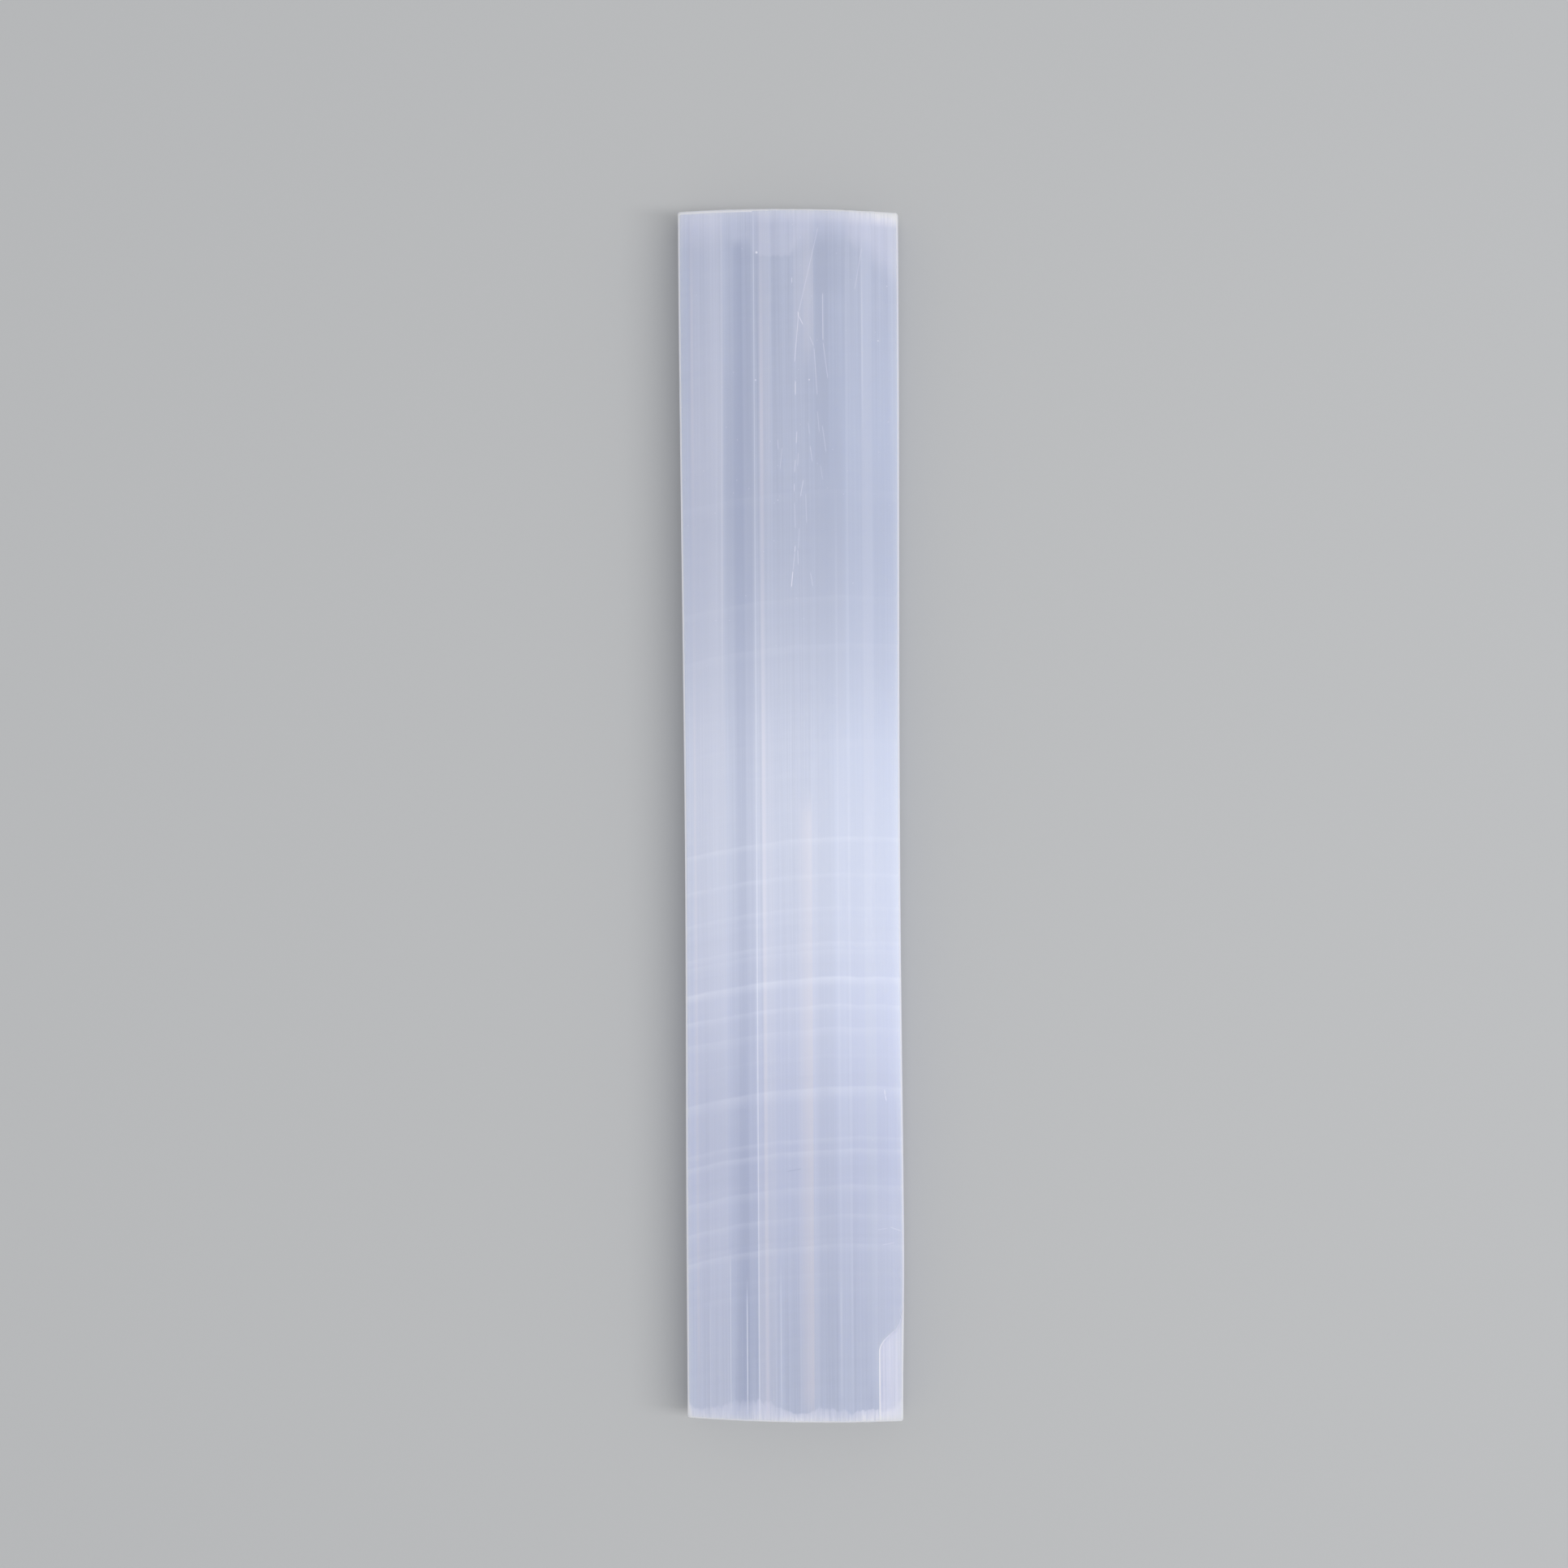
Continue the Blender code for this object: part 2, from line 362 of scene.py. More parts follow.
def shaped(points, out):
    """The bar with its grooves, nicks, end grain, opened ends, bevel and flake. Returns points and masks."""
    form, across, to_top, to_bottom = drawn_out(points)
    x, y = form[:, 0], form[:, 1]
    sideways, lengthwise, upward = np.abs(out).T
    rim = np.clip(2 * (sideways * upward + lengthwise * upward + sideways * lengthwise), 0, 1)
    upper, lower = out[:, 2] > FACING, out[:, 2] < -FACING
    moved = form - worn_in(form, out, rim)

    comb = value_noise(form, COMB_SIZE, COMB_SEED)
    bottom_inside, bottom_strength, bottom_near, bottom_wear = opened(BOTTOM_END, x, to_bottom, comb)
    top_inside, top_strength, _, top_wear = opened(TOP_END, x, to_top, comb)
    lip = np.interp(x, *zip(*TOP_LIP)) * np.clip(1 - to_top / TOP_LIP_REACH, 0, 1)
    bevel = crescent_bevel(across, to_top)
    for drop in (bottom_wear, top_wear, CRESCENT_DROP * bevel):
        moved[:, 2] -= np.where(upper, drop, 0)

    flake = inside_flake(across * half_width(1, y), y)
    moved[:, 2] -= np.maximum(moved[:, 2] - flake_floor(form), 0) * ease(flake / FLAKE_RISER)
    moved[:, 2] = np.where(lower, np.maximum(moved[:, 2], 0.0), moved[:, 2])
    flake = np.where(upper, np.clip(flake, -FLAKE_MASK_REACH, FLAKE_MASK_REACH), -FLAKE_MASK_REACH)
    masks = {
        # Painted light: the crescent bevel's whitening stands in for light that the bevel doesn't catch
        "rim": np.maximum(rim, np.where(bevel > 0, CRESCENT_PAINTED_LIGHT, 0)),
        "endface": lengthwise,
        "flake": flake / MM,
        "bottom_edge": np.where(upper, bottom_inside, FAR_OUTSIDE),
        "bottom_strength": bottom_strength,
        "bottom_depth": np.where(upper, bottom_strength * bottom_near, 0),
        "top_edge": np.where(upper, top_inside, FAR_OUTSIDE),
        "top_strength": top_strength,
        "top_lip": np.where(upper, lip, 0),
    }
    return moved, masks


def smooth_step(value, low, high):
    """0 to 1 while the value runs from low to high, level at both."""
    share = np.clip((value - low) / (high - low), 0, 1)
    return share * share * (3 - 2 * share)


def is_broad(streak):
    """True for a streak whose sides are soft enough for the mesh to hold it."""
    return min(streak.left, streak.right) >= BROAD_SOFTNESS


def broad_streaks(x, y):
    """How much each tone's broad streaks leave of what lies under them, at places in millimetres."""
    left_over = {}
    for number, tone in enumerate(STREAK_ORDER):
        kept = np.ones(len(x))
        for streak in STREAKS:
            if streak.tone == tone and is_broad(streak):
                lean = (streak.top - streak.bottom) * y / (LENGTH / MM)
                off = x - (streak.top + streak.bottom) / 2 - lean
                sides = smooth_step(off, -streak.half - streak.left, -streak.half)
                sides = sides * (1 - smooth_step(off, streak.half, streak.half + streak.right))
                ends = smooth_step(y, streak.stop, streak.stop + streak.fade)
                ends = ends * (1 - smooth_step(y, streak.start - streak.fade, streak.start))
                kept = kept * (1 - streak.strength * sides * ends)
        left_over[f"broad_{number}"] = kept
    return left_over


def bar_mesh():
    """The bar's fine surface, in the place of its solid."""
    points, faces = block_surface(grid_lines())
    points, out = rounded(points)
    points, masks = shaped(points, out)
    low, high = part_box(NODE)
    middle = (points.min(0) + points.max(0)) / 2
    points[:, 0] += (low.x + high.x) / 2 - middle[0]
    points[:, 1] += (low.y + high.y) / 2 - middle[1]
    masks |= broad_streaks(points[:, 0] / MM, points[:, 1] / MM)
    mesh = bpy.data.meshes.new("selenite")
    mesh.from_pydata(points.tolist(), [], faces.tolist())
    for name, values in masks.items():
        attribute = mesh.attributes.new(name, "FLOAT", "POINT")
        attribute.data.foreach_set("value", values.astype(np.float32))
    mesh.validate()
    mesh.shade_smooth()
    mesh.set_sharp_from_angle(angle=SHARPEST_SMOOTH)
    bar = bpy.data.objects.new("selenite", mesh)
    bpy.context.scene.collection.objects.link(bar)
    return bar


# Material

MILK = (0.589, 0.625, 0.758, 1.0)
# A clearer fibre tone, also used as painted shade on the flanks of the sheen band
CLEAR_AND_PAINTED_SHADE = (0.480, 0.515, 0.645, 1.0)
WARM = (0.648, 0.660, 0.765, 1.0)
ROSE = (0.672, 0.660, 0.745, 1.0)
AZURE = (0.562, 0.618, 0.782, 1.0)
PINK = (0.655, 0.657, 0.762, 1.0)
LILAC = (0.562, 0.592, 0.776, 1.0)
BRIGHT = (0.860, 0.875, 0.960, 1.0)
# A frosted white for scratches, specks, dust, worn edges and split fibres, used as well for painted light on
# the crescent bevel, the flake's riser and the ends
FROST_AND_PAINTED_LIGHT = (0.910, 0.893, 0.998, 1.0)
SHADE = (0.350, 0.395, 0.560, 1.0)
SAWN = (0.780, 0.790, 0.850, 1.0)

# Lengthwise streaks, in millimetres: middle at the top and the bottom end, half width, softness to the left
# and the right, tone, strength, and where each starts and stops along the bar, with the length it fades over.
# A start or stop beyond the bar's end leaves part of that fade off the bar.
Streak = namedtuple("Streak", "top bottom half left right tone strength start stop fade")
STREAKS = [
    Streak(13.0, 13.0, 5.6, 6.0, 1.0, AZURE, 0.50, 101, -75, 45),
    Streak(0.0, 0.0, 18.5, 0.5, 0.5, LILAC, 0.45, 0, -101, 45),
    # Painted shade: the clear streaks on this line and on the next four darken the sheen band that the window
    # light lays across the bar, where it spreads too far along the bar and on its right side.
    Streak(0.0, 0.0, 18.5, 0.5, 0.5, CLEAR_AND_PAINTED_SHADE, 0.31, 66, 8, 20),
    Streak(-16.6, -16.6, 2.0, 0.5, 2.2, CLEAR_AND_PAINTED_SHADE, 0.24, 56, 12, 18),
    Streak(-12.2, -12.2, 2.6, 2.0, 2.0, CLEAR_AND_PAINTED_SHADE, 0.18, -32, -66, 10),
    Streak(4.6, 4.6, 3.6, 3.4, 1.6, CLEAR_AND_PAINTED_SHADE, 0.20, 58, 4, 18),
    Streak(10.0, 10.0, 8.5, 8.0, 1.0, CLEAR_AND_PAINTED_SHADE, 0.17, 12, -34, 14),
    Streak(13.6, 13.6, 3.5, 1.2, 1.0, BRIGHT, 0.10, 140, 30, 45),
    Streak(-10.9, -10.9, 2.0, 0.8, 1.2, BRIGHT, 0.06, 140, 50, 30),
    Streak(0.0, 0.0, 18.5, 0.5, 0.5, BRIGHT, 0.04, -56, -84, 14),
    Streak(15.4, 15.4, 1.2, 2.4, 1.4, BRIGHT, 0.13, -54, -96, 12),
    Streak(-13.50, -13.70, 2.60, 0.40, 0.22, WARM, 0.28, 101, -101, 4),
    Streak(-12.88, -13.95, 2.03, 2.60, 0.18, WARM, 0.64, 101, -10, 75),
    Streak(-11.00, -11.95, 0.08, 0.06, 0.06, BRIGHT, 0.27, 101, 0, 60),
    Streak(-11.85, -12.75, 0.09, 0.07, 0.10, BRIGHT, 0.09, 101, 20, 40),
    Streak(-16.00, -16.00, 0.12, 0.15, 0.15, ROSE, 0.34, 101, -101, 20),
    Streak(-17.40, -17.30, 0.90, 0.60, 0.60, CLEAR_AND_PAINTED_SHADE, 0.20, 101, 0, 30),
    Streak(-8.35, -8.35, 2.35, 0.40, 0.35, CLEAR_AND_PAINTED_SHADE, 0.48, 97.0, 4, 40),
    Streak(-8.35, -8.20, 1.70, 0.80, 0.80, SHADE, 0.15, 95.8, -97.8, 2.2),
    Streak(-8.36, -8.30, 0.40, 0.80, 0.55, SHADE, 0.34, 95.4, -97.8, 2.2),
    Streak(-8.40, -8.40, 0.40, 0.80, 0.60, SHADE, 0.17, 56, -30, 16),
    Streak(-7.00, -6.90, 0.75, 0.30, 0.20, SHADE, 0.08, 94.0, -40, 3.0),
    Streak(-7.05, -6.95, 0.65, 0.30, 0.20, SHADE, 0.17, 50.0, -99, 12),
    Streak(-5.72, -6.08, 0.06, 0.05, 0.06, BRIGHT, 0.24, 101, -101, 4),
    Streak(-5.72, -6.08, 0.07, 0.06, 0.07, BRIGHT, 0.34, 6, -141, 44),
    Streak(-5.35, -5.35, 0.60, 0.20, 0.30, PINK, 0.36, -45, -141, 35),
    Streak(-4.00, -4.00, 0.70, 0.15, 0.40, WARM, 0.34, 140, 30, 40),
    Streak(-4.62, -4.72, 0.14, 0.28, 0.32, PINK, 0.82, 108, -151, 50),
    Streak(-4.05, -4.05, 0.60, 0.30, 0.90, WARM, 0.34, 50, -141, 70),
    Streak(3.20, 2.75, 0.15, 2.60, 0.18, ROSE, 0.68, 5.0, -101, 7),
    Streak(3.40, 3.00, 0.30, 0.40, 1.10, WARM, 0.24, 5.0, -101, 7),
    Streak(3.30, 3.30, 0.75, 0.20, 0.08, WARM, 0.55, 101, 71, 12),
    Streak(2.20, 2.20, 1.10, 0.60, 0.40, WARM, 0.35, 101, 71, 12),
    Streak(6.30, 6.00, 2.00, 0.25, 1.10, CLEAR_AND_PAINTED_SHADE, 0.44, 96.6, -4, 40),
    Streak(5.25, 5.25, 0.80, 0.30, 0.70, CLEAR_AND_PAINTED_SHADE, 0.38, 96.6, 55, 4.5),
    Streak(6.60, 6.60, 2.20, 0.60, 0.90, CLEAR_AND_PAINTED_SHADE, 0.36, 96.6, 84, 3.5),
    Streak(5.60, 5.30, 0.95, 0.80, 0.80, CLEAR_AND_PAINTED_SHADE, 0.34, 20, -101, 20),
    Streak(8.20, 8.00, 0.80, 0.50, 0.50, MILK, 0.25, 60, -101, 50),
    Streak(9.45, 9.30, 0.12, 0.25, 0.12, BRIGHT, 0.11, 101, -101, 20),
    Streak(7.52, 7.48, 0.12, 0.10, 0.12, BRIGHT, 0.08, 60, -101, 20),
    Streak(12.05, 12.05, 0.09, 0.07, 0.07, BRIGHT, 0.26, 98, 60, 15),
    Streak(12.75, 12.65, 0.65, 0.45, 0.45, MILK, 0.60, 101, -101, 10),
    Streak(-14.14, -14.14, 0.06, 0.06, 0.06, BRIGHT, 0.18, -78, -101, 4),
    Streak(-10.72, -10.76, 0.06, 0.05, 0.05, BRIGHT, 0.36, -70, -101, 5),
    Streak(-7.82, -8.02, 0.07, 0.05, 0.05, BRIGHT, 0.62, -75, -101, 7),
    Streak(-2.30, -2.46, 0.05, 0.05, 0.05, BRIGHT, 0.34, -72, -101, 8),
    Streak(7.50, 7.50, 0.10, 0.12, 0.12, BRIGHT, 0.16, -74, -101, 8),
]

# The mesh holds the streaks whose sides are both at least this soft, and the shader draws the finer ones
BROAD_SOFTNESS = 0.5

# The tones from the lowest layer to the uppermost one
STREAK_ORDER = [AZURE, LILAC, WARM, ROSE, PINK, CLEAR_AND_PAINTED_SHADE, SHADE, MILK, BRIGHT]

# Growth bands, bright and dull, in millimetres: where each one's upper edge meets the top of its arc, how far
# it tails off below, and its strength
Band = namedtuple("Band", "place tail strength")
BANDS = [
    Band(53.9, 2.2, 0.045),
    Band(36.4, 1.4, 0.050),
    Band(28.6, 1.8, 0.060),
    Band(12.9, 2.6, 0.030),
    Band(-3.35, 1.1, 0.130),
    Band(-9.3, 0.9, 0.100),
    Band(-14.7, 0.9, 0.090),
    Band(-16.5, 0.9, 0.035),
    Band(-20.5, 1.0, 0.105),
    Band(-21.8, 1.1, 0.070),
    Band(-26.25, 1.6, 0.260),
    Band(-30.8, 1.1, 0.155),
    Band(-34.6, 1.8, 0.105),
    Band(-39.0, 0.7, 0.045),
    Band(-44.35, 2.3, 0.195),
    Band(-52.65, 1.0, 0.120),
    Band(-54.65, 1.2, 0.170),
    Band(-59.3, 0.6, 0.035),
    Band(-60.6, 1.7, 0.135),
    Band(-65.45, 1.2, 0.125),
    Band(-69.3, 0.8, 0.040),
    Band(-70.3, 1.4, 0.160),
    Band(-74.9, 1.6, 0.040),
    Band(-77.4, 1.2, 0.045),
]
DULL_BANDS = [
    Band(-18.0, 1.6, 0.10),
    Band(-23.8, 2.6, 0.12),
    Band(-33.0, 1.0, 0.05),
    Band(-42.2, 2.2, 0.10),
    Band(-49.2, 2.4, 0.05),
    Band(-57.4, 2.0, 0.09),
    Band(-63.6, 1.2, 0.05),
    Band(-68.6, 0.9, 0.08),
]
BAND_RISE = 0.45

# The bands' bow: where across the bar it is highest, how far it has dropped at a run to either side, and how
# far it sways off that
ARC_TOP, ARC_DROP, ARC_RUN = 9.0 * MM, 3.3 * MM, 26.8 * MM
ARC_SWAY = 0.7 * MM

# The shader's values that are the same all over the bar
SPAR_SHADER = {
    "Subsurface Weight": 1.0,
    "Subsurface Radius": (1.0, 0.95, 0.88),
    "Subsurface Scale": 4.5 * MM,
    "IOR": 1.52,
    "Specular IOR Level": 0.70,
    "Anisotropic": 1.0,
    "Coat Weight": 0.15,
    "Coat Roughness": 0.26,
    "Coat IOR": 1.5,
}

# Scratches, in millimetres: a start, an end and a strength, and how the sides and tips of each one fade
SCRATCHES = [
    ((4.96, 97.0), (1.65, 82.9), 0.30),
    ((1.65, 82.9), (0.92, 74.6), 0.45),
    ((1.55, 83.2), (1.62, 81.9), 0.80),
    ((1.62, 82.4), (2.44, 80.7), 0.60),
    ((0.57, 88.8), (0.56, 87.6), 0.55),
    ((5.63, 86.2), (5.62, 78.1), 0.45),
    ((5.62, 78.1), (6.38, 71.9), 0.35),
    ((3.36, 79.1), (4.15, 77.2), 0.35),
    ((4.13, 77.2), (4.62, 69.1), 0.35),
    ((1.04, 71.8), (1.02, 69.1), 0.60),
    ((1.24, 63.5), (1.09, 61.1), 0.45),
    ((-1.97, 62.2), (-1.85, 60.2), 0.30),
    ((5.39, 64.4), (6.02, 59.7), 0.30),
    ((3.36, 61.1), (3.74, 58.1), 0.35),
    ((0.94, 58.8), (0.79, 56.4), 0.40),
    ((2.25, 55.5), (1.70, 52.4), 0.40),
    ((0.84, 44.7), (0.70, 43.2), 0.55),
    ((0.74, 43.6), (0.40, 40.2), 0.32),
    ((0.42, 40.5), (0.12, 37.5), 0.70),
    ((0.74, 54.9), (0.72, 53.2), 0.42),
    ((0.72, 51.8), (0.86, 47.2), 0.26),
    ((2.60, 53.2), (2.72, 48.0), 0.24),
    ((1.45, 60.0), (1.30, 57.4), 0.28),
    ((-1.20, 60.8), (-1.62, 56.9), 0.22),
    ((4.62, 66.8), (4.92, 63.0), 0.24),
    ((5.05, 57.9), (5.42, 55.2), 0.20),
    ((1.50, 47.6), (1.32, 43.8), 0.26),
    ((1.22, 44.0), (1.30, 41.2), 0.32),
    ((3.05, 65.0), (3.34, 62.6), 0.22),
    ((3.26, 40.2), (3.70, 37.6), 0.28),
    ((12.15, 93.7), (10.89, 86.5), 0.25),
    ((14.86, -45.0), (14.98, -46.3), 0.60),
    ((14.94, -46.0), (15.22, -47.2), 0.65),
    ((15.51, -67.8), (17.60, -68.6), 0.35),
    ((13.37, -68.3), (15.38, -68.0), 0.25),
    ((14.15, -70.8), (16.56, -70.4), 0.30),
]
DARK_SCRATCH = ((-1.38, -58.5), (1.29, -58.0), 0.40)
SCRATCH_SIDE = (0.03 * MM, 0.11 * MM)
LONGEST_TIP = 0.5

# Bruised specks, in millimetres: a middle, a radius and a strength, and the span that they fade over, as
# shares of the radius
SPECKS = [
    ((-5.22, 92.8), 0.20, 0.90),
    ((-5.51, 71.8), 0.15, 0.60),
    ((3.31, 71.8), 0.15, 0.55),
    ((14.71, 78.2), 0.14, 0.50),
    ((16.24, 87.2), 0.12, 0.45),
    ((-8.60, 62.0), 0.10, 0.30),
    ((-2.00, 52.0), 0.12, 0.40),
]
SPECK_FADE = (0.5, 1.3)

# Dust: cells to the metre, the span that a dot fades over, as shares of its cell, and its rise up the bar
DUST_CELLS = 520.0
DUST_FADE = (0.0225, 0.0675)
DUST_RISE = (15.0 * MM, 45.0 * MM, 0.12, 0.32)

# Noise: scale, detail, roughness, and stretch across, along and up
Noise = namedtuple("Noise", "scale detail roughness stretch")
FINE_FIBRES = Noise(4200, 3.0, 0.65, (1.0, 0.004, 1.0))
MEDIUM_FIBRES = Noise(1300, 2.0, 0.5, (1.0, 0.005, 1.0))
BROAD_FIBRES = Noise(300, 2.0, 0.5, (1.0, 0.012, 1.0))
RIPPLES = Noise(700, 3.0, 0.6, (0.06, 1.0, 0.06))
SWAY = Noise(160, 1.0, 0.5, (1.0, 0.3, 1.0))
PATCHES = Noise(260, 2.0, 0.6, (1.0, 0.25, 1.0))
COMBED = Noise(3000, 2.0, 0.6, (1.0, 0.02, 1.0))
SPLIT_FIBRES = Noise(2300, 3.0, 0.65, (1.0, 0.010, 1.0))
GRAIN = Noise(1900, 3.0, 0.65, (1.0, 1.0, 1.0))

# How much each size of fibre counts, and the ripples beside them
FINE_SHARE, MEDIUM_SHARE, BROAD_SHARE = 0.45, 0.35, 0.20
RIPPLE_SHARE = 0.11

# Ramps: the low and the high value of what a ramp follows, and its own values there where not 0 and 1
MILKINESS = (0.28, 0.72)
PATCHINESS = (0.25, 0.65, 0.60, 1.15)
BANDS_ACROSS = (8.5 * MM, 14.0 * MM, 1.0, 0.72)
COMB_TEETH = (0.30, 0.70, 0.60, 1.30)
FLAKE_START = (0.02, 0.12)
FLAKE_FIBRES = (0.30, 0.70, 0.32, 0.66)
FLAKE_ACROSS = (14.8 * MM, 17.2 * MM, 1.0, 0.70)
# Where the painted highlight along the flake's riser starts and stops in from its edge, and how it runs along
# the bar
RISER_START, RISER_STOP = (0.02, 0.10), (0.18, 0.42)
RISER_ALONG = (-88.0 * MM, -84.0 * MM, 1.00, 0.20)
RIM_START = (0.40, 0.95)
RIM_ALONG_SIDE = (97.5 * MM, 99.5 * MM, 0.70, 0.90)
RIM_ACROSS, RIM_WHITE = (15.0 * MM, 17.0 * MM), 0.85
ENDFACE_START = (0.50, 0.95)
ENDFACE_GRAIN = (0.3, 0.6, 0.5, 0.9)
SILK_ROUGHNESS = (0.25, 0.75, 0.31, 0.37)

# How white the opened ends are inside their edge and towards the very end, whitening that is partly painted
# glow of light let in through the ends, and how rough what is worn is
BOTTOM_WHITE, BOTTOM_WHITER = 0.26, 0.45
TOP_WHITE, TOP_WHITER = 0.30, 0.55
WORN_ROUGHNESS = 0.20

# The finest relief: how deep its fibres and the pits of the sawn ends are, and how much of it shows
FIBRE_DEPTH, PIT_DEPTH = 0.02 * MM, 0.10 * MM
BUMP_STRENGTH = 0.6


class Wiring:
    """Adds nodes to a tree, and links or sets their inputs."""

    def __init__(self, tree):
        self.tree = tree

    def feed(self, socket, value):
        """Links an input to another node's output, or sets its value."""
        if isinstance(value, bpy.types.NodeSocket):
            self.tree.links.new(value, socket)
        else:
            socket.default_value = value

    def add(self, kind, inputs=None, **settings):
        """A new node with its settings and inputs."""
        node = self.tree.nodes.new(kind)
        for name, value in settings.items():
            setattr(node, name, value)
        for key, value in (inputs or {}).items():
            self.feed(node.inputs[key], value)
        return node

    def math(self, operation, *values):
        """The result of one operation on the values."""
        return self.add("ShaderNodeMath", dict(enumerate(values)), operation=operation).outputs[0]

    def plus(self, first, second):
        return self.math("ADD", first, second)

    def times(self, first, second):
        return self.math("MULTIPLY", first, second)

    def larger(self, first, second):
        return self.math("MAXIMUM", first, second)

    def step(self, value, low, high, out_low=0.0, out_high=1.0):
        """Runs smoothly from one value to another while the input runs from low to high."""
        inputs = {"Value": value, "From Min": low, "From Max": high, "To Min": out_low, "To Max": out_high}
        return self.add("ShaderNodeMapRange", inputs, interpolation_type="SMOOTHSTEP").outputs["Result"]

    def fall(self, value, low, high):
        """Runs smoothly from 1 down to 0 while the input runs from low to high."""
        return self.step(value, low, high, 1.0, 0.0)

    def mix(self, factor, first, second):
        """Goes from the first colour to the second one as the factor runs from 0 to 1."""
        node = self.add("ShaderNodeMix", data_type="RGBA", clamp_factor=True)
        sockets = {socket.identifier: socket for socket in node.inputs}
        self.feed(sockets["Factor_Float"], factor)
        self.feed(sockets["A_Color"], first)
        self.feed(sockets["B_Color"], second)
        return next(socket for socket in node.outputs if socket.identifier == "Result_Color")

    def plane(self, x, y, across, along, offset):
        """across * x + along * y + offset."""
        return self.math("MULTIPLY_ADD", x, across, self.math("MULTIPLY_ADD", y, along, offset))

    def noise(self, vector, noise):
        """Noise from 0 to 1 on a stretched vector."""
        scale, detail, roughness, stretch = noise
        scaled = self.add("ShaderNodeVectorMath", {0: vector, 1: stretch}, operation="MULTIPLY").outputs[0]
        inputs = {"Vector": scaled, "Scale": scale, "Detail": detail, "Roughness": roughness}
        return self.add("ShaderNodeTexNoise", inputs).outputs["Fac"]

    def mask(self, name):
        """A mask that the mesh holds."""
        return self.add("ShaderNodeAttribute", attribute_name=name).outputs["Fac"]


def fibre_noise(wire, place):
    """Fine lengthwise fibres in three sizes, from 0 to 1."""
    fine = wire.times(wire.noise(place, FINE_FIBRES), FINE_SHARE)
    medium = wire.times(wire.noise(place, MEDIUM_FIBRES), MEDIUM_SHARE)
    broad = wire.times(wire.noise(place, BROAD_FIBRES), BROAD_SHARE)
    return wire.plus(wire.plus(fine, medium), broad)


def on_arcs(wire, place, x, y):
    """The place along the bar, counted along the bowed growth bands."""
    from_top = wire.times(wire.math("SUBTRACT", x, ARC_TOP), 1 / ARC_RUN)
    bow = wire.times(wire.times(from_top, from_top), ARC_DROP)
    sway = wire.times(wire.math("SUBTRACT", wire.noise(place, SWAY), 0.5), ARC_SWAY)
    return wire.plus(wire.plus(y, bow), sway)


def milky_colour(wire, fibres, arced):
    """Clear and milky fibres, with ripples that follow the growth bands."""
    ripples = wire.math("SUBTRACT", wire.noise(arced, RIPPLES), 0.5)
    milky = wire.plus(fibres, wire.times(ripples, RIPPLE_SHARE))
    return wire.mix(wire.step(milky, *MILKINESS), CLEAR_AND_PAINTED_SHADE, MILK)


def streak_mask(wire, x, y, streak):
    """1 on a lengthwise streak, fading at its sides and at its ends."""
    lean = (streak.bottom - streak.top) / (LENGTH / MM)
    off = wire.plane(x, y, 1.0, lean, -(streak.top + streak.bottom) / 2 * MM)
    left = wire.step(off, -(streak.half + streak.left) * MM, -streak.half * MM)
    right = wire.fall(off, streak.half * MM, (streak.half + streak.right) * MM)
    below_start = wire.fall(y, (streak.start - streak.fade) * MM, streak.start * MM)
    above_stop = wire.step(y, streak.stop * MM, (streak.stop + streak.fade) * MM)
    return wire.times(wire.times(left, right), wire.times(below_start, above_stop))


def with_streaks(wire, colour, x, y):
    """Lays the lengthwise streaks over a colour, one tone after another."""
    for number, tone in enumerate(STREAK_ORDER):
        kept = wire.mask(f"broad_{number}")
        for streak in STREAKS:
            if streak.tone == tone and not is_broad(streak):
                taken = wire.times(streak_mask(wire, x, y, streak), streak.strength)
                kept = wire.times(kept, wire.math("SUBTRACT", 1.0, taken))
        colour = wire.mix(kept, tone, colour)
    return colour


def band_strength(wire, along, band):
    """How strong a growth band is: it sets in sharply at its upper edge, and tails off below."""
    upper = wire.fall(along, (band.place - BAND_RISE) * MM, band.place * MM)
    tail = wire.step(along, (band.place - BAND_RISE - band.tail) * MM, (band.place - BAND_RISE / 2) * MM)
    return wire.times(wire.times(upper, tail), band.strength)


def with_bands(wire, colour, x, along, arced):
    """Lays the dull and the bright growth bands over a colour: patchy, and fainter towards +X."""
    patchy = wire.times(wire.step(wire.noise(arced, PATCHES), *PATCHINESS), wire.step(x, *BANDS_ACROSS))
    for bands, tone in ((DULL_BANDS, CLEAR_AND_PAINTED_SHADE), (BANDS, BRIGHT)):
        strength = functools.reduce(wire.plus, (band_strength(wire, along, band) for band in bands))
        colour = wire.mix(wire.times(strength, patchy), colour, tone)
    return colour


def scratch_strength(wire, x, y, start, end, strength):
    """How strong a fine straight scratch is."""
    (x0, y0), (x1, y1) = start, end
    length = math.hypot(x1 - x0, y1 - y0)
    dx, dy = (x1 - x0) / length, (y1 - y0) / length
    off = wire.plane(x, y, dy, -dx, (y0 * dx - x0 * dy) * MM)
    along = wire.plane(x, y, dx, dy, -((x0 + x1) * dx + (y0 + y1) * dy) / 2 * MM)
    side = wire.fall(wire.math("ABSOLUTE", off), *SCRATCH_SIDE)
    reach, tip = length / 2 * MM, min(LONGEST_TIP, length / 3) * MM
    ends = wire.fall(wire.math("ABSOLUTE", along), reach - tip, reach)
    return wire.times(wire.times(side, ends), strength)


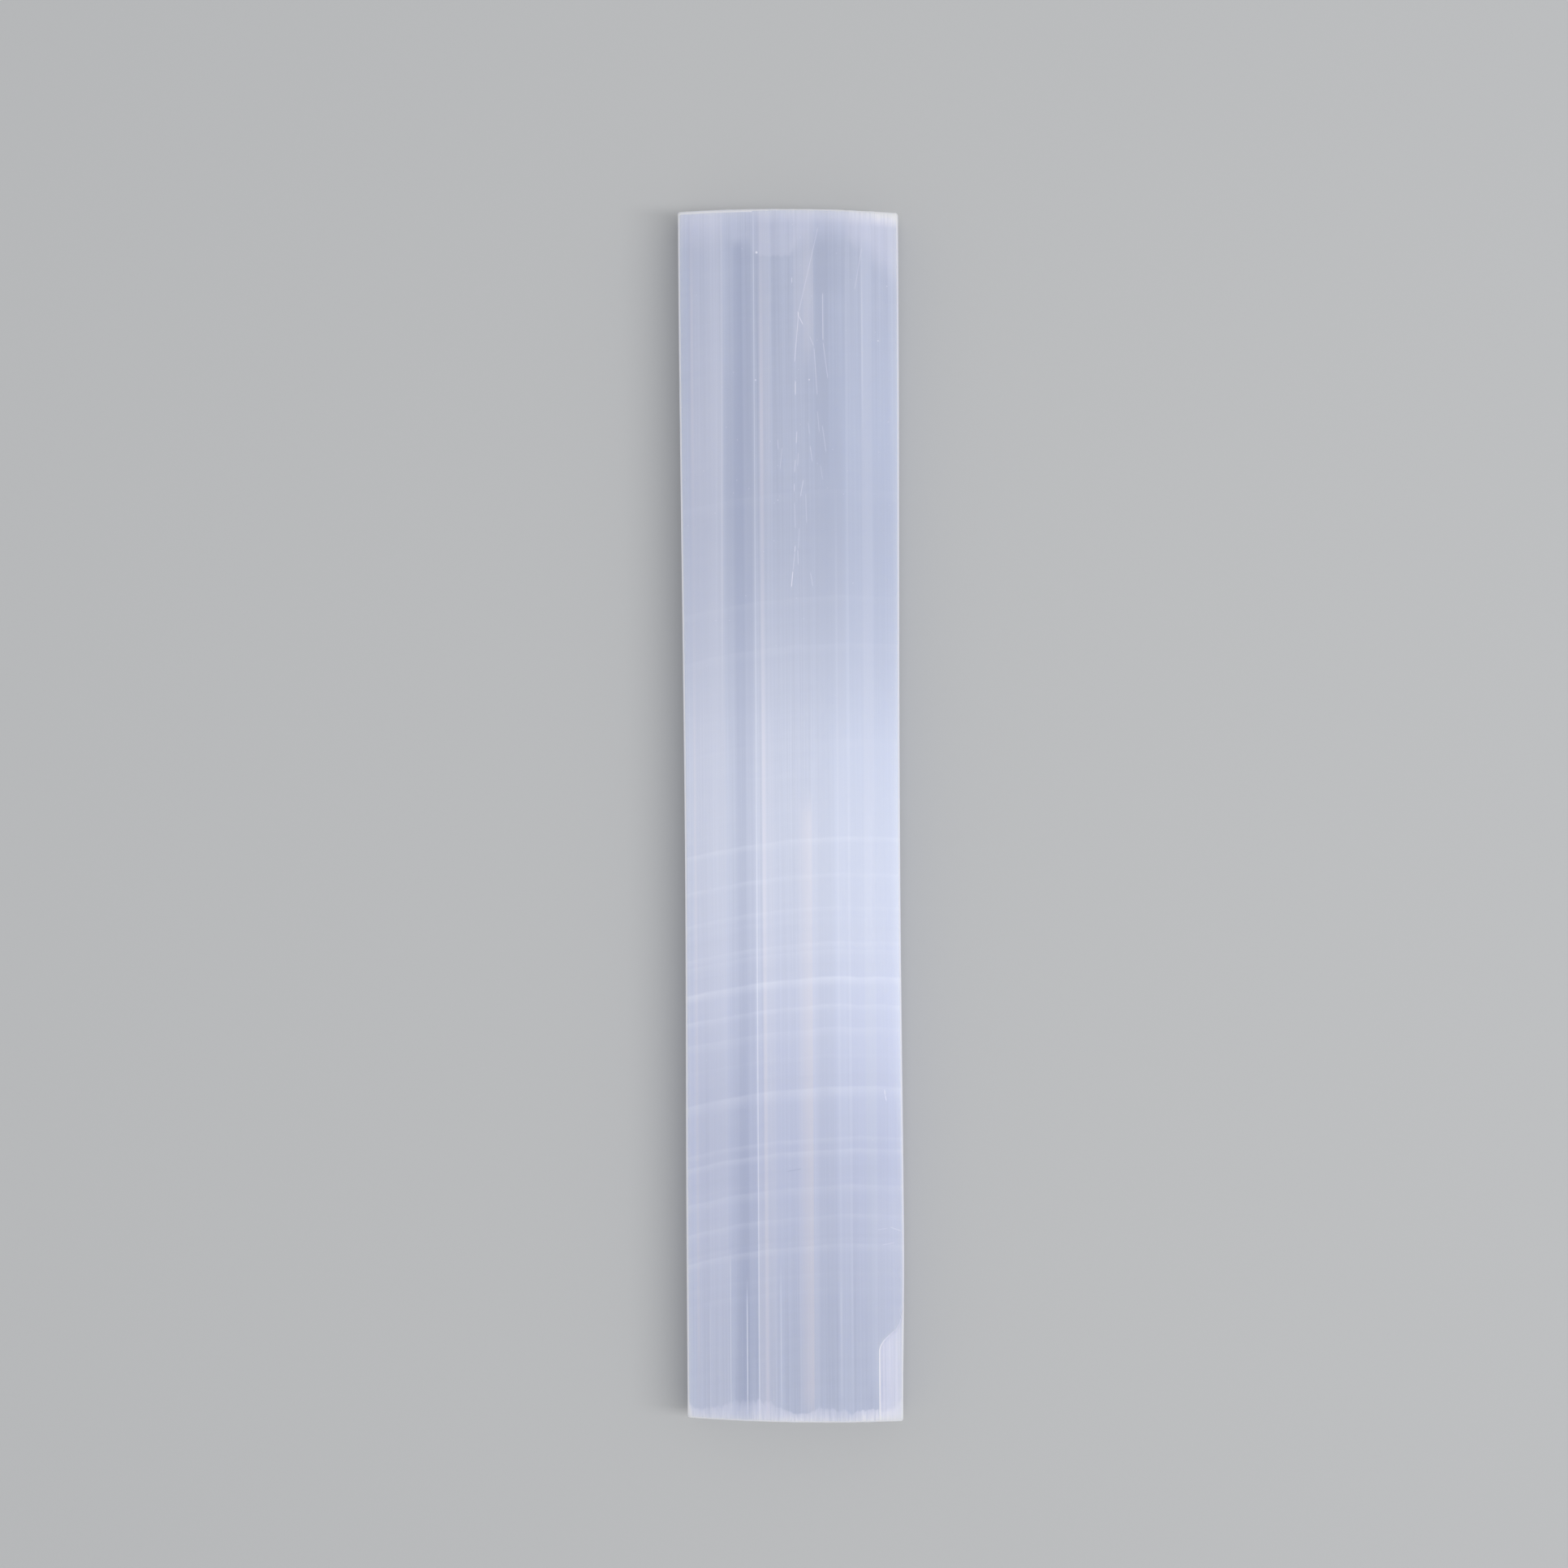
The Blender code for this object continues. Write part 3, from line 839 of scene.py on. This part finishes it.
def speck_strength(wire, x, y, middle, radius, strength):
    """How strong a small round speck is."""
    dx = wire.math("SUBTRACT", x, middle[0] * MM)
    dy = wire.math("SUBTRACT", y, middle[1] * MM)
    distance = wire.math("SQRT", wire.plus(wire.times(dx, dx), wire.times(dy, dy)))
    core, edge = (share * radius * MM for share in SPECK_FADE)
    return wire.times(wire.fall(distance, core, edge), strength)


def dust(wire, place, y):
    """How strong the tiny bruised dots are that are strewn over the bar, mostly over its upper half."""
    cells = wire.add("ShaderNodeTexVoronoi", {"Vector": place, "Scale": DUST_CELLS, "Randomness": 1.0})
    return wire.times(wire.fall(cells.outputs["Distance"], *DUST_FADE), wire.step(y, *DUST_RISE))


def scratched_strength(wire, place, x, y):
    """How strong the scratches, the specks and the dust are together."""
    strongest = dust(wire, place, y)
    for scratch in SCRATCHES:
        strongest = wire.larger(strongest, scratch_strength(wire, x, y, *scratch))
    for speck in SPECKS:
        strongest = wire.larger(strongest, speck_strength(wire, x, y, *speck))
    return strongest


def bottom_strength(wire, comb):
    """How white the bottom end is: its opened fibres, and painted glow of light let in through the end."""
    edge = wire.times(wire.step(wire.mask("bottom_edge"), 0.0, 1.0), wire.mask("bottom_strength"))
    bruise_and_glow = wire.plus(wire.times(edge, BOTTOM_WHITE), wire.times(wire.mask("bottom_depth"), BOTTOM_WHITER))
    return wire.times(bruise_and_glow, comb)


def top_strength(wire, comb):
    """How white the top end is: its opened fibres and lip, and painted glow of light let in through the end.
    """
    edge = wire.times(wire.step(wire.mask("top_edge"), 0.0, 1.0), wire.mask("top_strength"))
    lip = wire.times(wire.mask("top_lip"), comb)
    return wire.plus(wire.times(edge, TOP_WHITE), wire.times(lip, TOP_WHITER))


def flake_and_riser_highlight_strength(wire, place, x, y):
    """How white the flake is: split fibres on its floor, and a painted highlight along its riser."""
    split_fibres = wire.step(wire.noise(place, SPLIT_FIBRES), *FLAKE_FIBRES)
    inside = wire.mask("flake")
    floor = wire.times(wire.step(inside, *FLAKE_START), split_fibres)
    floor = wire.times(floor, wire.step(x, *FLAKE_ACROSS))
    # Painted highlight: the bright line where the riser faces the window light
    riser = wire.times(wire.step(inside, *RISER_START), wire.fall(inside, *RISER_STOP))
    return wire.larger(floor, wire.times(riser, wire.step(y, *RISER_ALONG)))


def rim_strength(wire, x, y):
    """How white the rounded edges are, with painted light on the crescent bevel: less along the side at +X
    than along the other edges.
    """
    at_side = wire.step(wire.math("ABSOLUTE", y), *RIM_ALONG_SIDE)
    white = wire.step(x, *RIM_ACROSS, RIM_WHITE, at_side)
    return wire.times(wire.step(wire.mask("rim"), *RIM_START), white)


def satin_spar():
    """Milky fibres with a silky sheen, streaks, growth bands, opened ends, scratches, sawn faces, and painted
    light and shade.
    """
    material = bpy.data.materials.new("satin_spar")
    material.use_nodes = True
    wire = Wiring(material.node_tree)
    place = wire.add("ShaderNodeTexCoord").outputs["Object"]
    split = wire.add("ShaderNodeSeparateXYZ", {0: place})
    x, y, z = split.outputs["X"], split.outputs["Y"], split.outputs["Z"]

    fibres = fibre_noise(wire, place)
    along = on_arcs(wire, place, x, y)
    arced = wire.add("ShaderNodeCombineXYZ", {0: x, 1: along, 2: z}).outputs[0]
    colour = with_streaks(wire, milky_colour(wire, fibres, arced), x, y)
    colour = with_bands(wire, colour, x, along, arced)
    scratched = scratched_strength(wire, place, x, y)
    colour = wire.mix(scratched, colour, FROST_AND_PAINTED_LIGHT)
    colour = wire.mix(scratch_strength(wire, x, y, *DARK_SCRATCH), colour, SHADE)

    comb = wire.step(wire.noise(place, COMBED), *COMB_TEETH)
    # The ends' whitening: opened fibres, and painted glow of light let in through the ends
    bruised = bottom_strength(wire, comb)
    colour = wire.mix(bruised, colour, FROST_AND_PAINTED_LIGHT)
    colour = wire.mix(top_strength(wire, comb), colour, FROST_AND_PAINTED_LIGHT)
    flake_and_riser_highlight = flake_and_riser_highlight_strength(wire, place, x, y)
    colour = wire.mix(flake_and_riser_highlight, colour, FROST_AND_PAINTED_LIGHT)
    rim = rim_strength(wire, x, y)
    colour = wire.mix(rim, colour, FROST_AND_PAINTED_LIGHT)
    grain = wire.noise(place, GRAIN)
    sawn = wire.times(wire.step(wire.mask("endface"), *ENDFACE_START), wire.step(grain, *ENDFACE_GRAIN))
    colour = wire.mix(sawn, colour, SAWN)

    worn = wire.larger(wire.larger(bruised, flake_and_riser_highlight), wire.larger(sawn, rim))
    rougher = wire.times(wire.larger(worn, scratched), WORN_ROUGHNESS)
    roughness = wire.plus(wire.step(fibres, *SILK_ROUGHNESS), rougher)
    pits = wire.times(wire.times(grain, sawn), PIT_DEPTH)
    height = wire.plus(wire.times(fibres, FIBRE_DEPTH), pits)
    bump = wire.add("ShaderNodeBump", {"Strength": BUMP_STRENGTH, "Distance": 1.0, "Height": height})
    around = wire.add("ShaderNodeTangent", direction_type="RADIAL", axis="Y")

    shader = material.node_tree.nodes["Principled BSDF"]
    wire.feed(shader.inputs["Base Color"], colour)
    wire.feed(shader.inputs["Roughness"], roughness)
    wire.feed(shader.inputs["Normal"], bump.outputs["Normal"])
    wire.feed(shader.inputs["Tangent"], around.outputs["Tangent"])
    shader.subsurface_method = "RANDOM_WALK"
    for name, value in SPAR_SHADER.items():
        shader.inputs[name].default_value = value
    return material


# Room

FRAME_WIDTH = 258.0 * MM
SENSOR_WIDTH = 36.0
CAMERA_HEIGHT = 540.0 * MM
PHOTO_MIDDLE = (-1.32 * MM, 5.29 * MM)
PHOTO_ROLL = math.radians(-0.4185)

WINDOW_PLACE = Vector((0.32, -0.042, 0.92))
WINDOW_SIZES = (0.17, 1.10)
WINDOW_POWER = 4.3
WINDOW_COLOUR = (0.97, 0.98, 1.0)
ROOM_LIGHT = 0.575
ROOM_COLOUR = (0.95, 0.97, 1.0, 1.0)
FLOOR_COLOUR = (0.545, 0.545, 0.540, 1.0)
FLOOR_ROUGHNESS = 0.8
FLOOR_SIZE = 60.0


def floor_board():
    """A plain pale floor."""
    bpy.ops.mesh.primitive_plane_add(size=FLOOR_SIZE, location=(0.0, 0.0, 0.0))
    board = bpy.context.object
    board.name = "floor"
    material = bpy.data.materials.new("floor")
    material.use_nodes = True
    shader = material.node_tree.nodes["Principled BSDF"]
    shader.inputs["Base Color"].default_value = FLOOR_COLOUR
    shader.inputs["Roughness"].default_value = FLOOR_ROUGHNESS
    board.data.materials.append(material)


def window():
    """A long soft window light that points at the middle of the bar."""
    light = bpy.data.lights.new("window", "AREA")
    light.shape = "RECTANGLE"
    light.size, light.size_y = WINDOW_SIZES
    light.energy = WINDOW_POWER
    light.color = WINDOW_COLOUR
    lamp = bpy.data.objects.new("window", light)
    lamp.location = WINDOW_PLACE
    lamp.rotation_euler = (-WINDOW_PLACE).to_track_quat("-Z", "Y").to_euler()
    bpy.context.scene.collection.objects.link(lamp)


def lights():
    """The window light from the right, and an even pale room."""
    window()
    world = bpy.data.worlds.new("room")
    world.use_nodes = True
    background = world.node_tree.nodes["Background"]
    background.inputs["Color"].default_value = ROOM_COLOUR
    background.inputs["Strength"].default_value = ROOM_LIGHT
    bpy.context.scene.world = world
    bpy.context.scene.view_settings.view_transform = "Standard"


def camera():
    """Straight overhead, turned by the little that the bar lies askew."""
    data = bpy.data.cameras.new("camera")
    data.sensor_width = SENSOR_WIDTH
    data.lens = SENSOR_WIDTH * CAMERA_HEIGHT / FRAME_WIDTH
    eye = bpy.data.objects.new("camera", data)
    eye.location = (*PHOTO_MIDDLE, CROWN_HEIGHT + CAMERA_HEIGHT)
    eye.rotation_euler = (0.0, 0.0, PHOTO_ROLL)
    bpy.context.scene.collection.objects.link(eye)
    bpy.context.scene.camera = eye


def main():
    camera()
    lights()
    floor_board()
    bar = bar_mesh()
    bar.data.materials.append(satin_spar())
    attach(bar, "root")
    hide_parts(NODE)


main()
